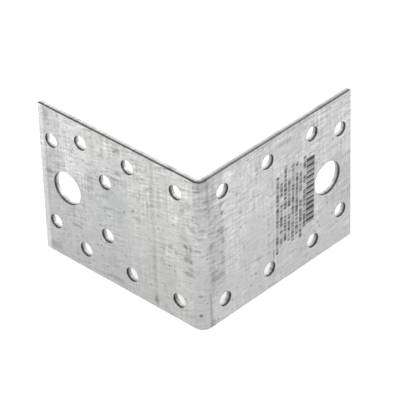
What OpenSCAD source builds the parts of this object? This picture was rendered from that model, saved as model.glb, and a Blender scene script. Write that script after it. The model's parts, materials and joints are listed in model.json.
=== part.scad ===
// Corner brace bracket: one strip of galvanised sheet steel, punched flat and then folded once
// to a right angle. It stands on its lower cut edges with the fold upright. The right leg runs
// along +X and the left leg along +Y, as seen from outside the corner, and the outside faces
// look towards -Y and -X. The origin is under the middle of the square that the legs span.

/* [Sheet] */
// Thickness of the sheet
sheet_thickness = 2; // [1.5:0.1:3]
// Width of the strip, which is the height of the standing bracket
strip_width = 54.5; // [52:0.5:80]
// Rounding that shear and punch leave on the outside rims of the sheet and the holes
rim_roll = 0.15; // [0.1:0.05:0.4]

/* [Legs] */
// Length of the right leg, from the outside of the fold to its free end
right_leg_length = 68; // [64:1:100]
// Length of the left leg, from the outside of the fold to its free end
left_leg_length = 68; // [64:1:100]
// Inside radius of the fold
fold_inside_radius = 1; // [0.5:0.1:3]
// Rounding of the cut edges at the middle of the fold, where bending draws their outside in
fold_edge_roll = 0.6; // [0.5:0.1:0.9]

/* [Nail holes] */
// Diameter of a nail hole
nail_hole_diameter = 5; // [4:0.1:6]
// Height between the two holes of each pair in the long rows
row_spacing = 40; // [36:0.5:42]
// Distance from the fold's outside to the first pair
first_pair_distance = 10; // [8:0.5:14]
// Distance from the fold's outside to the second pair
second_pair_distance = 30; // [24:0.5:34]
// Distance from the fold's outside to the third pair
third_pair_distance = 50; // [46:0.5:52]
// Distance of the last pair from the free end
end_pair_inset = 5; // [4:0.5:6]
// Height between the two holes of the last pair
end_pair_spacing = 30.5; // [28:0.5:32]
// Distance from the fold's outside to the extra pair, which only the left leg has
extra_pair_distance = 40; // [36:0.5:42]
// Height between the two holes of the extra pair
extra_pair_spacing = 20; // [17:0.5:24]

/* [Bolt hole] */
// Diameter of the bolt hole at the middle height of each leg
bolt_hole_diameter = 11.5; // [9:0.5:13]
// Distance of the bolt hole's centre from the free end
bolt_hole_inset = 11; // [10:0.5:12]

/* [Hidden] */
fold_outside_radius = fold_inside_radius + sheet_thickness;
mid_height = strip_width / 2;
cut_margin = 1;
$fn = 96;

// Square corner less a quarter disc: what a rolled rim loses, at the origin, towards +x and +y
module rim_trim_profile(roll) {
    difference() {
        translate([-cut_margin, -cut_margin]) square(roll + cut_margin);
        translate([roll, roll]) circle(roll);
    }
}

// Section across the strip, with the outside face on the line x = 0
module strip_section() {
    difference() {
        square([sheet_thickness, strip_width]);
        rim_trim_profile(rim_roll);
        translate([0, strip_width]) mirror([0, 1]) rim_trim_profile(rim_roll);
    }
}

// Straight run of one leg along +X, from the fold to its free end
module straight_run(leg_length) {
    difference() {
        translate([fold_outside_radius, 0, 0]) rotate([90, 0, 90])
            linear_extrude(leg_length - fold_outside_radius) strip_section();
        translate([leg_length, 0, -cut_margin]) mirror([1, 0, 0])
            linear_extrude(strip_width + 2 * cut_margin) rim_trim_profile(rim_roll);
    }
}

// Quarter turn of the strip between the two straight runs
module fold() {
    translate([fold_outside_radius, fold_outside_radius, 0]) rotate([0, 0, 180])
        rotate_extrude(angle = 90)
            translate([fold_outside_radius, 0]) mirror([1, 0]) strip_section();
}

// Cutter across the fold's middle that rounds the lower cut edge on the outside: straight, so the
// curve of the fold leaves it by itself on both sides
module fold_edge_trim() {
    length = 2 * (fold_outside_radius + fold_edge_roll);
    translate([fold_outside_radius, fold_outside_radius, 0]) rotate([0, 0, 45])
        translate([-fold_outside_radius, 0, 0]) rotate([90, 0, 0])
            linear_extrude(length, center = true) rim_trim_profile(fold_edge_roll);
}

// Cutter for one punched hole: a bore along +Y from the outside face, with its rolled rim
module punched_hole(diameter) {
    rotate([-90, 0, 0]) {
        translate([0, 0, -cut_margin])
            cylinder(d = diameter, h = sheet_thickness + 2 * cut_margin);
        rotate_extrude() translate([diameter / 2, 0]) rim_trim_profile(rim_roll);
    }
}

// Two nail holes, one above the other, about the middle height
module nail_hole_pair(distance, spacing) {
    for (side = [-1, 1])
        translate([distance, 0, mid_height + side * spacing / 2])
            punched_hole(nail_hole_diameter);
}

// Holes that both legs have
module leg_holes(leg_length) {
    for (distance = [first_pair_distance, second_pair_distance, third_pair_distance])
        nail_hole_pair(distance, row_spacing);
    nail_hole_pair(leg_length - end_pair_inset, end_pair_spacing);
    translate([leg_length - bolt_hole_inset, 0, mid_height])
        punched_hole(bolt_hole_diameter);
}

module right_leg() {
    difference() {
        straight_run(right_leg_length);
        leg_holes(right_leg_length);
    }
}

// The left leg is drawn along +X and then swapped across to +Y
module left_leg() {
    mirror([1, -1, 0])
        difference() {
            straight_run(left_leg_length);
            leg_holes(left_leg_length);
            nail_hole_pair(extra_pair_distance, extra_pair_spacing);
        }
}

module bracket() {
    color("lightgray")
        translate([-right_leg_length / 2, -left_leg_length / 2, 0])
            difference() {
                union() {
                    fold();
                    right_leg();
                    left_leg();
                }
                fold_edge_trim();
                translate([0, 0, strip_width]) mirror([0, 0, 1]) fold_edge_trim();
            }
}

bracket();
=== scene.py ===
import json
import math

import bmesh
import bpy
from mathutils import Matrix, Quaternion, Vector


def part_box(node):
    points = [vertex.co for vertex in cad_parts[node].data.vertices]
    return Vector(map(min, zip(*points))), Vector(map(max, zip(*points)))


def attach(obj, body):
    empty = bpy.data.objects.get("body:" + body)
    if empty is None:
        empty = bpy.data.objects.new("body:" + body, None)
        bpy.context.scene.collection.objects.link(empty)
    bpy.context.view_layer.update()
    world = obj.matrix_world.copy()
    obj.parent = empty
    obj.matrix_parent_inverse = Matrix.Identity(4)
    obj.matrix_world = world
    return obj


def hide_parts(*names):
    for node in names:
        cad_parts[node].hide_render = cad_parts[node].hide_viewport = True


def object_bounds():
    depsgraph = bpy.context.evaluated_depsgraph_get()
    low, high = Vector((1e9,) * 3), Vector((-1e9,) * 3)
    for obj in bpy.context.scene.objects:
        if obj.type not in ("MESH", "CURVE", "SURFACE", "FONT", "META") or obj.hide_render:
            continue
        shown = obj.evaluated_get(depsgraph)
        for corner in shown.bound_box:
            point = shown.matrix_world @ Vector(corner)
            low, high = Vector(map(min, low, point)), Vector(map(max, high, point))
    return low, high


print("loading the frame")
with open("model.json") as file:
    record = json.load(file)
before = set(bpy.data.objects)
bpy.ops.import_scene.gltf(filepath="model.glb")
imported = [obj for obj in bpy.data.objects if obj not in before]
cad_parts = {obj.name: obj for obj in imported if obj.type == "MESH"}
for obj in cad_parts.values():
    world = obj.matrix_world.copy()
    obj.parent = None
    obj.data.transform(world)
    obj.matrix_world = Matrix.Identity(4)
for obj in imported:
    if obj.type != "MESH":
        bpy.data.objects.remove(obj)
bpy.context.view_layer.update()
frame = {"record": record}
millimetre = 0.001


# helpers for modelling

def makeActive(piece):
    if bpy.context.object and bpy.context.object.mode != "OBJECT":
        bpy.ops.object.mode_set(mode="OBJECT")
    bpy.ops.object.select_all(action="DESELECT")
    if piece:
        piece.select_set(True)
        bpy.context.view_layer.objects.active = piece


def applyModifier(piece, kind, settings):
    makeActive(piece)
    bpy.ops.object.modifier_add(type=kind)
    modifier = piece.modifiers[-1]
    for name, value in settings.items():
        setattr(modifier, name, value)
    bpy.ops.object.modifier_apply(modifier=modifier.name)


def pickParts(piece, parts, test):  # parts is verts, edges or faces; call it in edit mode
    bpy.ops.mesh.select_all(action="DESELECT")
    kind = {"verts": "VERT", "edges": "EDGE", "faces": "FACE"}[parts]
    bpy.ops.mesh.select_mode(type=kind)
    mesh = bmesh.from_edit_mesh(piece.data)
    for part in getattr(mesh, parts):
        if test(part):
            part.select_set(True)
    mesh.select_flush_mode()
    bmesh.update_edit_mesh(piece.data)


# the bracket: one strip, folded once, then punched

strip = {
    "thickness": 2.0 * millimetre,
    "insideRadius": 1.0 * millimetre,
    "foldSteps": 20,
    "runIn": 3.5 * millimetre,  # how far the fold's pull on the cut edges reaches into each leg
    "runInSteps": 7,
    "edgeDip": 0.6 * millimetre,  # pull that draws the fold's outside in at the cut edges
    "edgeSwell": 0.45 * millimetre,  # and pull that squeezes its inside out; the two overlap
    "rimRoll": 0.15 * millimetre,  # rounding on the side that the punch enters
    "rimSteps": 4,
    "burrRound": 0.09 * millimetre,  # and on the other side
    "burrSteps": 2,
    "holeSides": 96,
    "punchLength": 8.0 * millimetre,
    "weld": 0.01 * millimetre,  # points nearer than this are one
    "margin": 0.02 * millimetre,  # how far from its depth an edge still counts as a rim
    "sharpEdge": math.radians(60.0),  # a rim turns by more than this
    "facingOut": 0.8,  # cosine to the outward direction, below which a face is a cut face
    "normalWeight": 100,  # wide faces set the shading up to the rims
}
boxLow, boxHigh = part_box("bracket")
outsideRadius = strip["insideRadius"] + strip["thickness"]
corner = Vector((boxLow.x, boxLow.y, 0.0))  # where the two outside faces would meet
foldCentre = corner + Vector((outsideRadius, outsideRadius, 0.0))


def outwardFrom(point):  # from the fold's centre line, or straight out of a leg, to the point
    return Vector((min(point.x - foldCentre.x, 0.0), min(point.y - foldCentre.y, 0.0), 0.0))


def depthAt(point):  # how far the point lies below the outside face
    return outsideRadius - outwardFrom(point).length


def makeStrip():
    print("strip: cut end, left leg, fold, right leg")
    makeActive(None)
    height = boxHigh.z - boxLow.z
    place = Vector((corner.x + strip["thickness"] / 2, boxHigh.y, height / 2))
    bpy.ops.mesh.primitive_plane_add(size=1.0, location=place, rotation=(math.pi / 2, 0.0, 0.0))
    piece = bpy.context.object
    piece.name = "foldedStrip"
    bpy.ops.object.transform_apply(location=True, rotation=True, scale=True)
    bpy.ops.object.mode_set(mode="EDIT")
    bpy.ops.transform.resize(value=(strip["thickness"], 1.0, height), center_override=place)

    def run(direction, distance, steps=1):
        move = {"value": Vector(direction) * distance / steps}
        for _ in range(steps):
            bpy.ops.mesh.extrude_region_move(TRANSFORM_OT_translate=move)

    run((0, -1, 0), boxHigh.y - foldCentre.y - strip["runIn"])
    run((0, -1, 0), strip["runIn"], strip["runInSteps"])
    turn = {"steps": strip["foldSteps"], "angle": -math.pi / 2}
    bpy.ops.mesh.spin(center=foldCentre, axis=(0, 0, 1), **turn)
    run((1, 0, 0), strip["runIn"], strip["runInSteps"])
    run((1, 0, 0), boxHigh.x - foldCentre.x - strip["runIn"])
    bpy.ops.mesh.select_all(action="SELECT")
    bpy.ops.mesh.remove_doubles(threshold=strip["weld"])
    bpy.ops.mesh.normals_make_consistent(inside=False)
    return piece


def pullFoldEdges(piece):  # by proportional editing at the ends of the fold's middle lines
    reach = outsideRadius * math.pi / 4 + strip["runIn"]
    middle = Vector((-1.0, -1.0, 0.0)).normalized()
    for radius, pull in (
        (outsideRadius, -strip["edgeDip"]),
        (strip["insideRadius"], strip["edgeSwell"]),
    ):
        for level, side in ((boxHigh.z, 1.0), (boxLow.z, -1.0)):
            spot = foldCentre + middle * radius

            def isSpot(vert):  # an earlier pull may have moved it up or down
                atLevel = abs(vert.co.z - level) < strip["edgeSwell"] + strip["edgeDip"]
                return atLevel and (vert.co.xy - spot.xy).length < strip["weld"]

            pickParts(piece, "verts", isSpot)
            bpy.ops.transform.translate(
                value=(0.0, 0.0, side * pull),
                use_proportional_edit=True,
                proportional_edit_falloff="SMOOTH",
                proportional_size=reach,
            )


def holesInRecord():  # every hole's place, axis and radius, from the mounts in the record
    holes = []
    for mount in frame["record"]["mounts"]:
        dims = mount["dims"]
        radius = dims.get("hole_r_mm", dims.get("r_mm"))
        if radius is None:
            continue
        axis = Vector(mount["axis"])
        across = Vector((0, 0, 1)).cross(axis)
        halfX = dims.get("spacing_x_mm", 0.0) / 2 * millimetre
        halfY = dims.get("spacing_y_mm", 0.0) / 2 * millimetre
        for stepX in {-halfX, halfX}:
            for stepY in {-halfY, halfY}:
                place = Vector(mount["pos_m"]) + across * stepX + Vector((0, 0, stepY))
                holes.append((place, axis, radius * millimetre))
    return sorted(holes, key=lambda hole: tuple(hole[0]))


def punchHoles(piece):
    holes = holesInRecord()
    print(f"punching {len(holes)} holes")
    punches = []
    for place, axis, radius in holes:
        makeActive(None)
        bpy.ops.mesh.primitive_cylinder_add(
            vertices=strip["holeSides"],
            radius=radius,
            depth=strip["punchLength"],
            location=place,
            rotation=axis.to_track_quat("Z", "Y").to_euler(),
        )
        punches.append(bpy.context.object)
    makeActive(punches[0])
    for punch in punches:
        punch.select_set(True)
    bpy.ops.object.join()
    punch = bpy.context.object
    applyModifier(piece, "BOOLEAN", {"object": punch, "operation": "DIFFERENCE"})
    bpy.data.objects.remove(punch)


def roundRims(piece):
    print("rolling the rims on the punch side, and easing the burr side")
    margin, full = strip["margin"], strip["thickness"]

    def isRim(edge, low, high):
        depths = [depthAt(vert.co) for vert in edge.verts]
        atDepth = low - margin < min(depths) and max(depths) < high + margin
        return atDepth and len(edge.link_faces) == 2 and edge.calc_face_angle(0.0) > strip["sharpEdge"]

    makeActive(piece)
    bpy.ops.object.mode_set(mode="EDIT")
    pickParts(piece, "edges", lambda edge: isRim(edge, 0.0, 0.0))
    bpy.ops.mesh.bevel(offset=strip["rimRoll"], segments=strip["rimSteps"], affect="EDGES")
    pickParts(piece, "edges", lambda edge: isRim(edge, full, full))
    bpy.ops.mesh.bevel(offset=strip["burrRound"], segments=strip["burrSteps"], affect="EDGES")
    pickParts(piece, "edges", lambda edge: isRim(edge, 0.0, full))  # corners of the free ends
    bpy.ops.mesh.bevel(offset=strip["burrRound"], segments=strip["burrSteps"], affect="EDGES")
    bpy.ops.object.mode_set(mode="OBJECT")


def isCutFace(face):  # a face that looks along the sheet and not out of it
    out = outwardFrom(face.calc_center_median()).normalized()
    return abs(face.normal.dot(out)) < strip["facingOut"]


bracket = makeStrip()
pullFoldEdges(bracket)
punchHoles(bracket)
roundRims(bracket)
makeActive(bracket)
bpy.ops.object.shade_smooth()
applyModifier(bracket, "WEIGHTED_NORMAL", {"weight": strip["normalWeight"], "keep_sharp": False})


# helpers for materials

screenGamma = 2.2  # brightness on the screen, to this power, is the amount of light


def addNode(tree, kind, settings=None, inputs=None):  # inputs by name or number
    item = tree.nodes.new(kind)
    for name, value in (settings or {}).items():
        setattr(item, name, value)
    for name, value in (inputs or {}).items():
        if isinstance(value, bpy.types.NodeSocket):
            tree.links.new(value, item.inputs[name])
        else:
            item.inputs[name].default_value = value
    return item


def calc(tree, operation, *values):  # a Math node; gives its output
    inputs = dict(enumerate(values))
    return addNode(tree, "ShaderNodeMath", {"operation": operation}, inputs).outputs[0]


def multiply(tree, *values):
    result = values[0]
    for value in values[1:]:
        result = calc(tree, "MULTIPLY", result, value)
    return result


def fade(tree, value, low, high, lowTo=0.0, highTo=1.0):  # smooth step between two limits
    inputs = {"Value": value, "From Min": low, "From Max": high, "To Min": lowTo, "To Max": highTo}
    kind = {"interpolation_type": "SMOOTHSTEP"}
    return addNode(tree, "ShaderNodeMapRange", kind, inputs).outputs["Result"]


def band(tree, value, limits, soft):  # 1 between the two limits, and 0 outside
    rise = fade(tree, value, limits[0] - soft, limits[0] + soft)
    return multiply(tree, rise, fade(tree, value, limits[1] - soft, limits[1] + soft, 1.0, 0.0))


def toneWhere(tree, shade, mask, level):  # where the mask is 1, the render is level times as bright
    change = level ** screenGamma - 1.0
    return multiply(tree, shade, calc(tree, "MULTIPLY_ADD", mask, change, 1.0))


def stretch(tree, place, along, up, shift=0.0):  # one texture cell gets this size in millimetres
    inputs = {"Vector": place, "Scale": (along, up, 1.0), "Location": (shift, shift, 0.0)}
    settings = {"vector_type": "TEXTURE"}
    return addNode(tree, "ShaderNodeMapping", settings, inputs).outputs["Vector"]


def noise(tree, place, along, up, shift, detail=1.0, roughness=0.5):  # cells of this size too
    cells = stretch(tree, place, along, up, shift)
    inputs = {"Vector": cells, "Scale": 1.0, "Detail": detail, "Roughness": roughness}
    return addNode(tree, "ShaderNodeTexNoise", None, inputs).outputs["Fac"]


def chance(tree, *steps):  # a random number that changes at each whole step
    parts = {index: calc(tree, "FLOOR", value) for index, value in enumerate(steps)}
    vector = addNode(tree, "ShaderNodeCombineXYZ", None, parts).outputs[0]
    return addNode(tree, "ShaderNodeTexWhiteNoise", None, {"Vector": vector}).outputs["Value"]


def mixColor(tree, factor, first, second):
    inputs = {0: factor, 6: first, 7: second}
    return addNode(tree, "ShaderNodeMix", {"data_type": "RGBA"}, inputs).outputs[2]


def scaleColor(tree, color, amount):
    inputs = {0: color, 3: amount}
    return addNode(tree, "ShaderNodeVectorMath", {"operation": "SCALE"}, inputs).outputs[0]


def newGroup(name, inputs, outputs):
    tree = bpy.data.node_groups.new(name, "ShaderNodeTree")
    for direction, sockets in (("INPUT", inputs), ("OUTPUT", outputs)):
        for label, kind in sockets.items():
            socket = f"NodeSocket{kind}"
            tree.interface.new_socket(label, in_out=direction, socket_type=socket)
    given = tree.nodes.new("NodeGroupInput").outputs
    return tree, given, tree.nodes.new("NodeGroupOutput").inputs


def putOut(tree, sockets, values):
    for label, value in values.items():
        tree.links.new(value, sockets[label])


def useGroup(tree, group, inputs=None):
    return addNode(tree, "ShaderNodeGroup", {"node_tree": group}, inputs).outputs


def newMaterial(name):
    print(f"material: {name}")
    material = bpy.data.materials.new(name)
    material.use_nodes = True
    return material, material.node_tree, material.node_tree.nodes["Principled BSDF"]


# shared groups: places on the flat strip in millimetres, and the look of the zinc coat

def makeSheetPlace():  # Along runs over both legs, 0 at the fold's middle and more to the right
    outputs = {"Flat": "Vector", "Along": "Float", "Height": "Float", "Depth": "Float"}
    tree, _, out = newGroup("sheetPlace", {}, outputs)
    place = addNode(tree, "ShaderNodeTexCoord").outputs["Object"]
    split = addNode(tree, "ShaderNodeSeparateXYZ", None, {0: place}).outputs
    perMetre = 1.0 / millimetre
    overX = multiply(tree, calc(tree, "SUBTRACT", split["X"], foldCentre.x), perMetre)
    overY = multiply(tree, calc(tree, "SUBTRACT", split["Y"], foldCentre.y), perMetre)
    height = multiply(tree, split["Z"], perMetre)
    underX = calc(tree, "MAXIMUM", multiply(tree, overX, -1.0), 0.0)
    underY = calc(tree, "MAXIMUM", multiply(tree, overY, -1.0), 0.0)
    squares = calc(tree, "MULTIPLY_ADD", underX, underX, multiply(tree, underY, underY))
    depth = calc(tree, "SUBTRACT", outsideRadius * perMetre, calc(tree, "SQRT", squares))
    turned = calc(tree, "SUBTRACT", calc(tree, "ARCTAN2", underY, underX), math.pi / 4)
    legX = calc(tree, "MAXIMUM", overX, 0.0)
    legs = calc(tree, "SUBTRACT", legX, calc(tree, "MAXIMUM", overY, 0.0))
    along = calc(tree, "MULTIPLY_ADD", turned, outsideRadius * perMetre, legs)
    flat = addNode(tree, "ShaderNodeCombineXYZ", None, {0: along, 1: height}).outputs[0]
    putOut(tree, out, {"Flat": flat, "Along": along, "Height": height, "Depth": depth})
    return tree


mottleLayers = (  # cell along and up, shift, detail, roughness, how patchy, size of the change
    (20.0, 14.0, 0.0, 2.0, 0.5, 0.0, 0.12),  # clouds
    (3.3, 3.0, 47.0, 2.0, 0.6, 0.0, 0.2),  # blotches
    (1.5, 1.1, 31.0, 1.0, 0.5, 0.4, 0.32),  # small blotches
    (7.0, 1.0, 13.0, 1.0, 0.5, 0.6, 0.52),  # rolling marks along the strip
    (0.85, 14.0, 25.0, 1.0, 0.5, 0.9, 0.3),  # and across it
    (0.5, 0.45, 1.0, 2.0, 0.7, 0.0, 0.52),  # grain
)
mottleLean = 0.25  # on the left leg the marks rise towards the fold
mottlePatches = {  # where the patchy layers are weak and strong
    "cells": (9.0, 7.0, 2.0),
    "limits": (0.35, 0.65),
}


def makeZincMottle():  # the layers as one shade around 1, and the last layer by itself
    outputs = {"Shade": "Float", "Grain": "Float"}
    tree, given, out = newGroup("zincMottle", {"Flat": "Vector", "Strength": "Float"}, outputs)
    split = addNode(tree, "ShaderNodeSeparateXYZ", None, {0: given["Flat"]}).outputs
    onLeft = calc(tree, "MINIMUM", split["X"], 0.0)
    leaning = calc(tree, "MULTIPLY_ADD", onLeft, -mottleLean, split["Y"])
    place = addNode(tree, "ShaderNodeCombineXYZ", None, {0: split["X"], 1: leaning}).outputs[0]
    patches = noise(tree, place, *mottlePatches["cells"])
    limits = mottlePatches["limits"]
    change = 0.0
    for along, up, shift, detail, roughness, patchy, size in mottleLayers:
        layer = noise(tree, place, along, up, shift, detail, roughness)
        amount = fade(tree, patches, *limits, size * (1.0 - patchy), size * (1.0 + patchy))
        change = calc(tree, "MULTIPLY_ADD", calc(tree, "SUBTRACT", layer, 0.5), amount, change)
    shade = calc(tree, "MULTIPLY_ADD", change, given["Strength"], 1.0)
    putOut(tree, out, {"Shade": shade, "Grain": layer})
    return tree


inkBlock = {  # millimetres from the fold's middle along the right leg, and up from the lower edge
    "lean": 0.03,
    "rowsFrom": 32.4,
    "rowPitch": 1.76,
    "rows": 8,
    "rowStart": (10.8, 15.0),  # each row starts and ends at a random height between these
    "rowEnd": (39.2, 41.2),
    "rowEndSoft": 0.2,
    "rowsSoft": 0.05,
    "lastRowCut": 0.1,  # how much narrower the last row is
    "rowSides": (0.28, 0.4, 1.0, 0.12),  # shares of the pitch from a row's middle, and the ink there
    "cell": 0.4,
    "dashes": (0.2, 0.8, 0.32, 0.9),  # limits of the chance of a cell, and the ink at each
    "word": 2.6,
    "words": (0.08, 0.1, 0.3, 1.0),  # the same for a word, so that a few are faint
    "barsAcross": (46.4, 50.1),
    "barsUp": (15.2, 39.5),
    "barsSoft": 0.1,
    "barPitch": 2.0,
    "barWidth": (0.3, 0.62),  # shares of the pitch: the wide bar, and the limits of the thin one
    "thinBar": (0.74, 0.86),
    "barSoft": 0.04,
    "betweenBars": 0.3,
    "seeds": {"start": 8.0, "end": 3.0, "word": 4.0, "bar": 5.0},  # keep the chances apart
    "color": (0.009, 0.009, 0.01, 1.0),
}


def makeInkBlock():  # dashes in rows and a strip of bars: marks that say nothing
    tree, given, out = newGroup("inkBlock", {"Along": "Float", "Height": "Float"}, {"Ink": "Float"})
    ink, seeds = inkBlock, inkBlock["seeds"]
    height = given["Height"]
    lean = multiply(tree, calc(tree, "SUBTRACT", height, sum(ink["barsUp"]) / 2), -ink["lean"])
    along = calc(tree, "ADD", given["Along"], lean)
    start, pitch = ink["rowsFrom"], ink["rowPitch"]
    row = calc(tree, "DIVIDE", calc(tree, "SUBTRACT", along, start), pitch)
    offCentre = calc(tree, "ABSOLUTE", calc(tree, "SUBTRACT", calc(tree, "FRACT", row), 0.5))
    low = fade(tree, chance(tree, row, seeds["start"]), 0.0, 1.0, *ink["rowStart"])
    high = fade(tree, chance(tree, row, seeds["end"]), 0.0, 1.0, *ink["rowEnd"])
    step = calc(tree, "DIVIDE", height, ink["cell"])
    word = calc(tree, "DIVIDE", height, ink["word"])
    dashes = multiply(
        tree,
        band(tree, along, (start, start + ink["rows"] * pitch - ink["lastRowCut"]), ink["rowsSoft"]),
        fade(tree, offCentre, *ink["rowSides"]),
        fade(tree, chance(tree, row, step), *ink["dashes"]),
        fade(tree, chance(tree, row, word, seeds["word"]), *ink["words"]),
        fade(tree, calc(tree, "SUBTRACT", height, low), 0.0, ink["rowEndSoft"]),
        fade(tree, calc(tree, "SUBTRACT", high, height), 0.0, ink["rowEndSoft"]),
    )
    bar = calc(tree, "DIVIDE", height, ink["barPitch"])
    width = fade(tree, chance(tree, bar, seeds["bar"]), 0.0, 1.0, *ink["barWidth"])
    inCell = calc(tree, "FRACT", bar)
    soft = ink["barSoft"]
    wide = fade(tree, calc(tree, "SUBTRACT", width, inCell), -soft, soft, ink["betweenBars"], 1.0)
    bars = multiply(
        tree,
        calc(tree, "MAXIMUM", wide, band(tree, inCell, ink["thinBar"], soft)),
        band(tree, along, ink["barsAcross"], ink["barsSoft"]),
        band(tree, height, ink["barsUp"], ink["barsSoft"]),
    )
    putOut(tree, out, {"Ink": calc(tree, "MAXIMUM", dashes, bars)})
    return tree


sheetPlace = makeSheetPlace()
zincMottle = makeZincMottle()
inkMarks = makeInkBlock()

zinc = {
    "plain": (0.62, 0.62, 0.62, 1.0),
    "warm": (0.62, 0.62, 0.609, 1.0),
    "cool": (0.6155, 0.62, 0.6265, 1.0),
    "metallic": 1.0,
    "roughness": 0.46,
    "grit": 0.2,  # how much the grain changes the roughness
    "bump": 0.25,
    "bumpDistance": 0.05 * millimetre,
    "outside": (0.4, 0.8, 1.0, 0.0),  # limits of the depth: the marks are on the outside only
    "worn": (0.3, 0.6, 0.92, 1.0),  # limits of the grain, and the ink that is left at each
    "lowPaintedShade": 0.95,  # painted light by height: the shade at the lower edge, and at the upper one
    "highPaintedLight": 1.06,
    "mottleFrom": 10.0,  # the mottle grows stronger from this height to the upper edge
    "lowMottle": 0.75,
    "highMottle": 1.35,
}
# the marks below lie on the flat strip: along it from the fold's middle, below 0 on the left leg
pressAndLightMarks = {  # limits along, limits up, soft edge along and up, level, how much it breaks up
    # painted highlight where the left end rolls over from the cut
    "pale strip at the left end": ((-68.4, -65.4), (-2.0, 57.0), (0.3, 1.0), 1.11, 0.2),
    "dull line beside it": ((-65.1, -64.4), (-2.0, 57.0), (0.3, 1.0), 0.96, 0.5),
    "dull end of the left leg": ((-67.0, -58.5), (20.0, 38.0), (2.0, 3.0), 0.965, 0.2),
    # painted light: the upper part of the left leg lighter, in these two marks and in the light beside
    # the fold
    "light by the left bolt hole": ((-58.5, -46.0), (33.0, 57.0), (2.0, 3.0), 1.075, 0.2),
    "light above the extra pair": ((-43.5, -37.5), (41.0, 57.0), (1.0, 2.0), 1.05, 0.2),
    "dull between the extra pair": ((-41.5, -31.0), (28.0, 40.0), (1.5, 2.5), 0.96, 0.2),
    "light on the left leg": ((-29.5, -21.5), (4.0, 57.0), (1.5, 3.0), 1.025, 0.3),
    "roll line on the left leg": ((-19.7, -18.4), (-2.0, 57.0), (0.3, 1.0), 0.94, 0.5),
    "its bright flank": ((-18.1, -17.0), (-2.0, 57.0), (0.3, 1.0), 1.03, 0.6),
    "thin line on the left leg": ((-13.1, -12.7), (10.0, 50.0), (0.15, 3.0), 0.95, 0.6),
    # painted light on the upper left leg
    "light beside the fold": ((-12.5, -3.2), (36.0, 57.0), (0.5, 2.0), 1.04, 0.8),
    "light along the press marks": ((-14.5, -8.5), (18.0, 40.0), (1.0, 2.5), 1.04, 0.2),
    "lower light beside the fold": ((-10.5, -3.2), (-2.0, 17.0), (0.8, 3.0), 1.04, 0.5),
    "dull fold": ((-1.4, 2.9), (-2.0, 57.0), (0.9, 1.0), 0.965, 0.1),
    "dull top of the fold": ((-1.6, 4.0), (41.0, 57.0), (0.8, 5.0), 0.93, 0.1),
    # painted shade on the upper rim of the fold, damping the rim's highlight
    "dull rim of the fold": ((-2.0, 3.5), (51.9, 57.0), (1.0, 0.5), 0.91, 0.0),
    # painted shade: the dark line where the fold turns into the right leg; at its foot a painted
    # shadow along the lower edge, and a painted highlight on the flank beside it
    "crease": ((2.6, 3.1), (43.5, 53.0), (0.25, 0.6), 0.86, 0.3),
    "crease at the bottom": ((2.7, 3.4), (-2.0, 12.5), (0.3, 3.0), 0.82, 0.15),
    "foot of the crease": ((2.4, 5.0), (-2.0, 1.8), (1.0, 1.0), 0.87, 0.2),
    "bright flank of the crease": ((4.5, 9.5), (0.0, 7.5), (0.8, 2.0), 1.02, 0.3),
    "die band": ((3.0, 9.3), (14.0, 47.0), (0.3, 2.5), 0.955, 0.3),
    "dark side of the die band": ((2.6, 5.6), (10.0, 57.0), (0.6, 3.0), 0.965, 0.2),
    "dull top beside the crease": ((4.5, 9.5), (46.0, 57.0), (1.0, 2.0), 0.94, 0.3),
    "light beside the die band": ((9.6, 15.0), (16.0, 57.0), (0.4, 3.0), 1.025, 0.5),
    "light foot of the right leg": ((10.5, 18.0), (-2.0, 7.5), (1.5, 2.0), 1.035, 0.2),
    "dull top of the right leg": ((24.0, 46.0), (43.0, 57.0), (2.0, 2.5), 0.965, 0.2),
    # painted shade along the upper rim of the right leg, damping the rim's highlight
    "dull rim of the right leg": ((4.0, 69.0), (53.1, 57.0), (1.0, 0.4), 0.955, 0.1),
    "press line on the right leg": ((28.6, 31.4), (-2.0, 57.0), (0.5, 1.0), 0.975, 0.3),
    "second press line": ((30.9, 31.4), (2.0, 50.0), (0.15, 1.0), 0.95, 0.6),
    "press line by the bolt hole": ((57.2, 57.8), (30.0, 57.0), (0.2, 1.0), 0.95, 0.5),
    "dull end of the right leg": ((58.5, 69.0), (14.0, 34.0), (2.0, 3.0), 0.95, 0.3),
}
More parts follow.
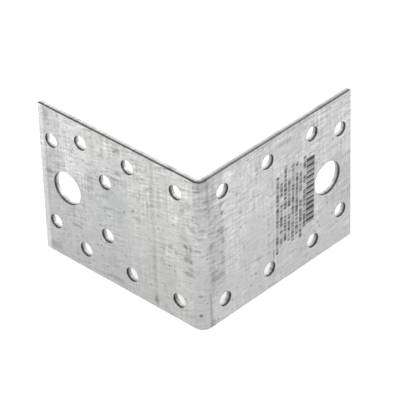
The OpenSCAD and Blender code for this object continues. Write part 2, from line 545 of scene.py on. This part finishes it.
spotMarks = (  # along, up, half size along and up, level
    (-5.7, 29.2, 1.0, 1.0, 0.82),  # rubbed by the press on the left of the fold
    (-3.6, 29.2, 0.8, 1.2, 0.8),
    (-5.7, 24.5, 0.9, 1.0, 0.82),
    (-3.7, 24.5, 0.9, 1.0, 0.8),
    (-4.7, 26.9, 1.6, 2.8, 0.93),
    (-4.7, 19.4, 2.0, 0.9, 0.86),
    (-3.7, 21.6, 1.3, 0.8, 0.87),
    (-9.8, 25.0, 0.7, 1.2, 0.87),
    (-3.0, 36.7, 1.8, 0.9, 0.86),
    (-6.4, 42.0, 1.0, 1.7, 0.89),
    (-6.3, 32.0, 1.9, 0.9, 0.91),
    (-19.0, 2.5, 1.0, 1.3, 0.82),  # stains on the left leg
    (-25.5, 29.7, 1.9, 1.0, 0.88),
    (-36.1, 2.6, 3.6, 0.9, 0.88),
    (-35.8, 40.4, 2.2, 0.7, 0.87),
    (-33.4, 43.0, 1.4, 0.8, 0.89),
    (-46.5, 36.3, 2.1, 0.7, 0.88),
    (-52.9, 14.9, 2.6, 0.6, 0.85),
    (-63.0, 2.5, 2.9, 1.7, 0.89),
    (-64.1, 30.6, 1.7, 1.2, 0.86),
    (-63.9, 51.6, 1.2, 2.0, 0.89),
    (-0.6, 5.5, 0.6, 0.6, 0.6),  # dents and cracks on the fold
    (-0.4, 12.8, 1.1, 0.5, 0.84),
    (-0.6, 51.0, 1.0, 0.5, 0.84),
    (0.3, 37.2, 1.1, 0.5, 0.86),
    (-0.4, 34.2, 1.6, 0.45, 0.86),
    (-1.0, 29.5, 1.2, 0.45, 0.88),
    (8.8, 42.6, 0.9, 1.1, 0.87),  # in the die band
    (8.8, 39.6, 0.8, 0.8, 0.76),
    (6.3, 39.6, 1.3, 0.6, 0.88),
    (8.3, 33.7, 1.9, 1.2, 0.88),
    (9.0, 29.3, 0.9, 0.9, 0.88),
    (3.9, 29.6, 1.0, 1.1, 0.88),
    (8.7, 22.2, 1.0, 1.6, 0.9),
    (6.2, 17.4, 3.4, 1.2, 0.87),
    (16.9, 35.6, 0.9, 0.6, 0.87),  # specks on the right leg
    (15.3, 43.0, 0.7, 0.7, 0.86),
    (24.6, 14.0, 1.5, 0.7, 0.89),
    (36.9, 50.4, 3.2, 1.1, 0.89),
    (31.2, 11.9, 0.4, 2.0, 0.86),
    (51.6, 13.2, 0.6, 0.6, 0.8),
    (11.5, 51.8, 2.4, 2.0, 1.05),  # and light patches
    (32.7, 52.1, 3.0, 0.8, 1.06),
)
pressBreaks = {  # where the press marks break up
    "cells": (2.0, 1.1, 4.0, 3.0, 0.6),
    "limits": (0.38, 0.58),
}
spotEdges = {  # how uneven the spots are, and where they end and fade out, over their half size
    "cells": (0.9, 0.9, 8.0),
    "limits": (1.0, 1.8),
}


def addPressAndLightMarks(tree, shade, place, outside):  # lines and bands that the rolls and the press left, with painted light and shade among them
    patchy = noise(tree, place["Flat"], *pressBreaks["cells"])
    patchy = fade(tree, patchy, *pressBreaks["limits"])
    for limits, upLimits, soft, level, broken in pressAndLightMarks.values():
        mark = multiply(
            tree,
            band(tree, place["Along"], limits, soft[0]),
            band(tree, place["Height"], upLimits, soft[1]),
            calc(tree, "MULTIPLY_ADD", patchy, broken, 1.0 - broken),
            outside,
        )
        shade = toneWhere(tree, shade, mark, level)
    return shade


def addSpotMarks(tree, shade, place, outside):  # single spots, each with an uneven soft edge
    edge = noise(tree, place["Flat"], *spotEdges["cells"])
    for along, up, halfAlong, halfUp, level in spotMarks:
        inputs = {"Location": (along, up, 0.0), "Scale": (halfAlong, halfUp, 1.0)}
        inputs["Vector"] = place["Flat"]
        near = addNode(tree, "ShaderNodeMapping", {"vector_type": "TEXTURE"}, inputs).outputs["Vector"]
        length = {"operation": "LENGTH"}
        away = addNode(tree, "ShaderNodeVectorMath", length, {0: near}).outputs["Value"]
        away = calc(tree, "ADD", away, edge)
        spot = fade(tree, away, *spotEdges["limits"], 1.0, 0.0)
        shade = toneWhere(tree, shade, multiply(tree, spot, outside), level)
    return shade


ripples = {  # in the die band
    "along": (2.0, 10.0),
    "up": (10.0, 47.0),
    "soft": (1.0, 4.0),
    "cells": (3.5, 0.8, 9.0, 2.0, 0.6),
    "limits": (0.5, 0.66),
    "level": 0.87,
}
cracks = {  # short ones along the strip
    "cells": (2.4, 0.5, 19.0, 2.0, 0.55),
    "clusterCells": (8.0, 11.0, 2.0),
    "clusters": (0.35, 0.65, 0.68, 0.59),  # limits of the cluster noise, and what a crack has to pass
    "fromFold": (5.0, 9.0, 0.0, 0.03),  # distances from the fold, and how much more it has to pass
    "soft": 0.06,
    "level": 0.85,
}


def addCracks(tree, shade, place, outside):  # ripples in the die band, and cracks, most at the fold
    flat, along, height = place["Flat"], place["Along"], place["Height"]
    ripple = noise(tree, flat, *ripples["cells"])
    softAlong, softUp = ripples["soft"]
    dieBand = band(tree, along, ripples["along"], softAlong)
    dieBand = multiply(tree, dieBand, band(tree, height, ripples["up"], softUp))
    ripple = multiply(tree, fade(tree, ripple, *ripples["limits"]), dieBand, outside)
    shade = toneWhere(tree, shade, ripple, ripples["level"])
    lines = noise(tree, flat, *cracks["cells"])
    limit = fade(tree, noise(tree, flat, *cracks["clusterCells"]), *cracks["clusters"])
    farther = fade(tree, calc(tree, "ABSOLUTE", along), *cracks["fromFold"])
    past = calc(tree, "SUBTRACT", calc(tree, "SUBTRACT", lines, limit), farther)
    crack = multiply(tree, fade(tree, past, 0.0, cracks["soft"]), outside)
    return toneWhere(tree, shade, crack, cracks["level"])


specks = {  # one in each cell that has the luck
    "cell": (2.1, 1.7),
    "size": (0.4, 1.0, 0.05, 0.22),  # limits of the luck, and the radius at each
    "seen": (0.45, 0.6),  # limits of the luck, from hidden to seen
    "soft": (-0.08, 0.1),
    "level": 0.8,
}


def addSpecks(tree, shade, flat):  # small dark specks everywhere
    spots = {"Vector": stretch(tree, flat, *specks["cell"]), "Scale": 1.0}
    cells = addNode(tree, "ShaderNodeTexVoronoi", None, spots).outputs
    luck = addNode(tree, "ShaderNodeSeparateColor", None, {0: cells["Color"]}).outputs[0]
    past = calc(tree, "SUBTRACT", cells["Distance"], fade(tree, luck, *specks["size"]))
    speck = fade(tree, past, *specks["soft"], 1.0, 0.0)
    speck = multiply(tree, speck, fade(tree, luck, *specks["seen"]))
    return toneWhere(tree, shade, speck, specks["level"])


tints = {  # limits on the flat strip, and soft edges
    "warmAlong": (-27.5, -3.2),
    "warmSoft": 1.0,
    "warmTopAlong": (-52.0, -20.0),
    "warmTopSoft": 3.0,
    "warmTopFrom": (42.0, 47.0),
    "coolAlong": (-45.0, -31.0),
    "coolUp": (20.0, 38.0),
    "coolSoft": 4.0,
}


def zincTint(tree, place):  # yellowish on the left leg up to the fold, with a bluish patch
    along, height = place["Along"], place["Height"]
    beside = band(tree, along, tints["warmAlong"], tints["warmSoft"])
    above = band(tree, along, tints["warmTopAlong"], tints["warmTopSoft"])
    above = multiply(tree, above, fade(tree, height, *tints["warmTopFrom"]))
    warm = mixColor(tree, calc(tree, "MAXIMUM", beside, above), zinc["plain"], zinc["warm"])
    patch = band(tree, along, tints["coolAlong"], tints["coolSoft"])
    patch = multiply(tree, patch, band(tree, height, tints["coolUp"], tints["coolSoft"]))
    return mixColor(tree, patch, warm, zinc["cool"])


def makeZincSkin():
    material, tree, shader = newMaterial("zincSkin")
    place = useGroup(tree, sheetPlace)
    height = place["Height"]
    outside = fade(tree, place["Depth"], *zinc["outside"])
    limits = (boxLow.z / millimetre, boxHigh.z / millimetre)
    strengths = (zinc["lowMottle"], zinc["highMottle"])
    strength = fade(tree, height, zinc["mottleFrom"], limits[1], *strengths)
    mottle = useGroup(tree, zincMottle, {"Flat": place["Flat"], "Strength": strength})
    # painted light: darker towards the lower edge and lighter towards the upper one
    paintedLightByHeight = fade(tree, height, *limits, zinc["lowPaintedShade"], zinc["highPaintedLight"])
    shade = multiply(tree, mottle["Shade"], paintedLightByHeight)
    shade = addPressAndLightMarks(tree, shade, place, outside)
    shade = addCracks(tree, shade, place, outside)
    shade = addSpotMarks(tree, shade, place, outside)
    shade = addSpecks(tree, shade, place["Flat"])

    marks = useGroup(tree, inkMarks, {"Along": place["Along"], "Height": height})
    worn = fade(tree, mottle["Grain"], *zinc["worn"])
    ink = multiply(tree, marks["Ink"], outside, worn)
    color = mixColor(tree, ink, scaleColor(tree, zincTint(tree, place), shade), inkBlock["color"])
    tree.links.new(color, shader.inputs["Base Color"])
    metal = calc(tree, "MULTIPLY_ADD", ink, -zinc["metallic"], zinc["metallic"])
    tree.links.new(metal, shader.inputs["Metallic"])
    grit = calc(tree, "SUBTRACT", mottle["Grain"], 0.5)
    rough = calc(tree, "MULTIPLY_ADD", grit, zinc["grit"], zinc["roughness"])
    tree.links.new(rough, shader.inputs["Roughness"])
    bumps = {"Height": mottle["Shade"], "Strength": zinc["bump"], "Distance": zinc["bumpDistance"]}
    bump = addNode(tree, "ShaderNodeBump", None, bumps)
    tree.links.new(bump.outputs[0], shader.inputs["Normal"])
    return material


cutSteel = {
    # near the outside face each cut face is near black: partly the sheared zone, mostly painted shade
    # and painted dark reflection
    "shearedAndShade": (0.09, 0.09, 0.09, 1.0),
    "torn": (0.76, 0.76, 0.755, 1.0),
    "inHoles": (0.45, 1.5),  # the painted shade fades out between these depths, in millimetres
    "onLeft": (0.35, 1.3),  # and between these on the long edges of each leg
    "onRight": (0.0, 1.9),
    "acrossFold": (-3.0, 3.0),  # along the strip, where the left limits change to the right ones
    "wander": 0.6,  # how unevenly the painted shade ends
    "foldShift": -0.25,  # of the depth at the fold, and the fade of it away from the fold
    "foldReach": (1.5, 5.0, 1.0, 0.0),
    "edgeBand": (1.2, 0.9),  # this far inside a long edge a hole's limits change to the edge's
    "metallic": 1.0,
    "roughness": 0.5,
}


def makeCutEdge():
    material, tree, shader = newMaterial("cutEdge")
    place = useGroup(tree, sheetPlace)
    mottle = useGroup(tree, zincMottle, {"Flat": place["Flat"], "Strength": 1.0})
    wander = multiply(tree, calc(tree, "SUBTRACT", mottle["Grain"], 0.5), cutSteel["wander"])
    depth = calc(tree, "ADD", place["Depth"], wander)
    inFold = fade(tree, calc(tree, "ABSOLUTE", place["Along"]), *cutSteel["foldReach"])
    depth = calc(tree, "MULTIPLY_ADD", inFold, cutSteel["foldShift"], depth)
    half = (boxHigh.z - boxLow.z) / millimetre / 2
    fromMiddle = calc(tree, "ABSOLUTE", calc(tree, "SUBTRACT", place["Height"], half))
    onLongEdge = fade(tree, fromMiddle, *(half - under for under in cutSteel["edgeBand"]))
    limits = []
    for inHoles, onLeft, onRight in zip(cutSteel["inHoles"], cutSteel["onLeft"], cutSteel["onRight"]):
        onEdge = fade(tree, place["Along"], *cutSteel["acrossFold"], onLeft, onRight)
        limits.append(fade(tree, onLongEdge, 0.0, 1.0, inHoles, onEdge))
    # painted shade on the outer part of each cut face and hole wall, fading to the torn steel deeper
    # in
    torn = fade(tree, depth, *limits)
    color = mixColor(tree, torn, cutSteel["shearedAndShade"], cutSteel["torn"])
    color = scaleColor(tree, color, mottle["Shade"])
    tree.links.new(color, shader.inputs["Base Color"])
    shader.inputs["Metallic"].default_value = cutSteel["metallic"]
    shader.inputs["Roughness"].default_value = cutSteel["roughness"]
    return material


def assignByFace(piece, material, test):
    piece.data.materials.append(material)
    makeActive(piece)
    bpy.ops.object.mode_set(mode="EDIT")
    pickParts(piece, "faces", test)
    piece.active_material_index = len(piece.data.materials) - 1
    bpy.ops.object.material_slot_assign()
    bpy.ops.object.mode_set(mode="OBJECT")


assignByFace(bracket, makeZincSkin(), lambda face: True)
assignByFace(bracket, makeCutEdge(), isCutFace)
bracket.name = "foldedBracket"
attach(bracket, "root")
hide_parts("bracket")


# floor, light and camera

studio = {
    "floorSize": 6.0,
    "floorColor": (0.9, 0.9, 0.9, 1.0),
    "floorRoughness": 0.9,
    "floorGlow": 0.4,  # lifts the floor to white for the camera, and leaves its shadow
    "skyStrength": 0.75,
    "lampsAim": (0.0, 0.0, 0.03),
    "keyPlace": (-0.9, -0.5, 1.3),
    "keySize": 0.9,
    "keyPower": 9.0,
    "fillPlace": (0.8, -1.0, 0.9),
    "fillSize": 0.9,
    "fillPower": 4.0,
}
view = {  # fitted to the rims of the holes
    "place": Vector((-0.5119, -0.5036, 0.5214)),
    "lookAt": Vector((-0.0034, -0.0043, 0.01927)),
    "roll": math.radians(-2.01),
    "focalPixels": 2796.0,
    "framePixels": 400.0,
    "sensor": 36.0,
}


def makeFloor():
    print("floor")
    makeActive(None)
    place = (0.0, 0.0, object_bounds()[0][2])
    bpy.ops.mesh.primitive_plane_add(size=studio["floorSize"], location=place)
    floor = bpy.context.object
    floor.name = "floor"
    material, tree, shader = newMaterial("paleFloor")
    shader.inputs["Base Color"].default_value = studio["floorColor"]
    shader.inputs["Roughness"].default_value = studio["floorRoughness"]
    shader.inputs["Specular IOR Level"].default_value = 0.0
    shader.inputs["Emission Color"].default_value = (1.0, 1.0, 1.0, 1.0)
    seen = tree.nodes.new("ShaderNodeLightPath").outputs["Is Camera Ray"]
    glow = multiply(tree, seen, studio["floorGlow"])
    tree.links.new(glow, shader.inputs["Emission Strength"])
    floor.data.materials.append(material)


def makeSky():  # white to the camera and in reflections, and less as light on matt faces
    world = bpy.data.worlds.new("studio")
    bpy.context.scene.world = world
    world.use_nodes = True
    tree = world.node_tree
    path = tree.nodes.new("ShaderNodeLightPath").outputs
    direct = calc(tree, "MAXIMUM", path["Is Camera Ray"], path["Is Glossy Ray"])
    direct = calc(tree, "MAXIMUM", direct, path["Is Transmission Ray"])
    strength = calc(tree, "MAXIMUM", direct, studio["skyStrength"])
    background = tree.nodes["Background"]
    background.inputs["Color"].default_value = (1.0, 1.0, 1.0, 1.0)
    tree.links.new(strength, background.inputs["Strength"])


def makeLamp(name, place, size, power):
    makeActive(None)
    aim = (Vector(studio["lampsAim"]) - Vector(place)).to_track_quat("-Z", "Y")
    bpy.ops.object.light_add(type="AREA", location=place, rotation=aim.to_euler())
    lamp = bpy.context.object
    lamp.name = name
    lamp.data.size = size
    lamp.data.energy = power


def makeCamera():
    print("camera")
    aim = (view["lookAt"] - view["place"]).to_track_quat("-Z", "Y")
    turn = aim @ Quaternion((0.0, 0.0, 1.0), view["roll"])
    makeActive(None)
    bpy.ops.object.camera_add(location=view["place"], rotation=turn.to_euler())
    camera = bpy.context.object
    camera.data.sensor_width = view["sensor"]
    camera.data.lens = view["focalPixels"] / view["framePixels"] * view["sensor"]
    bpy.context.scene.camera = camera


makeFloor()
makeSky()
makeLamp("keyLamp", studio["keyPlace"], studio["keySize"], studio["keyPower"])
makeLamp("fillLamp", studio["fillPlace"], studio["fillSize"], studio["fillPower"])
makeCamera()
bpy.context.scene.view_settings.view_transform = "Standard"

print("done")
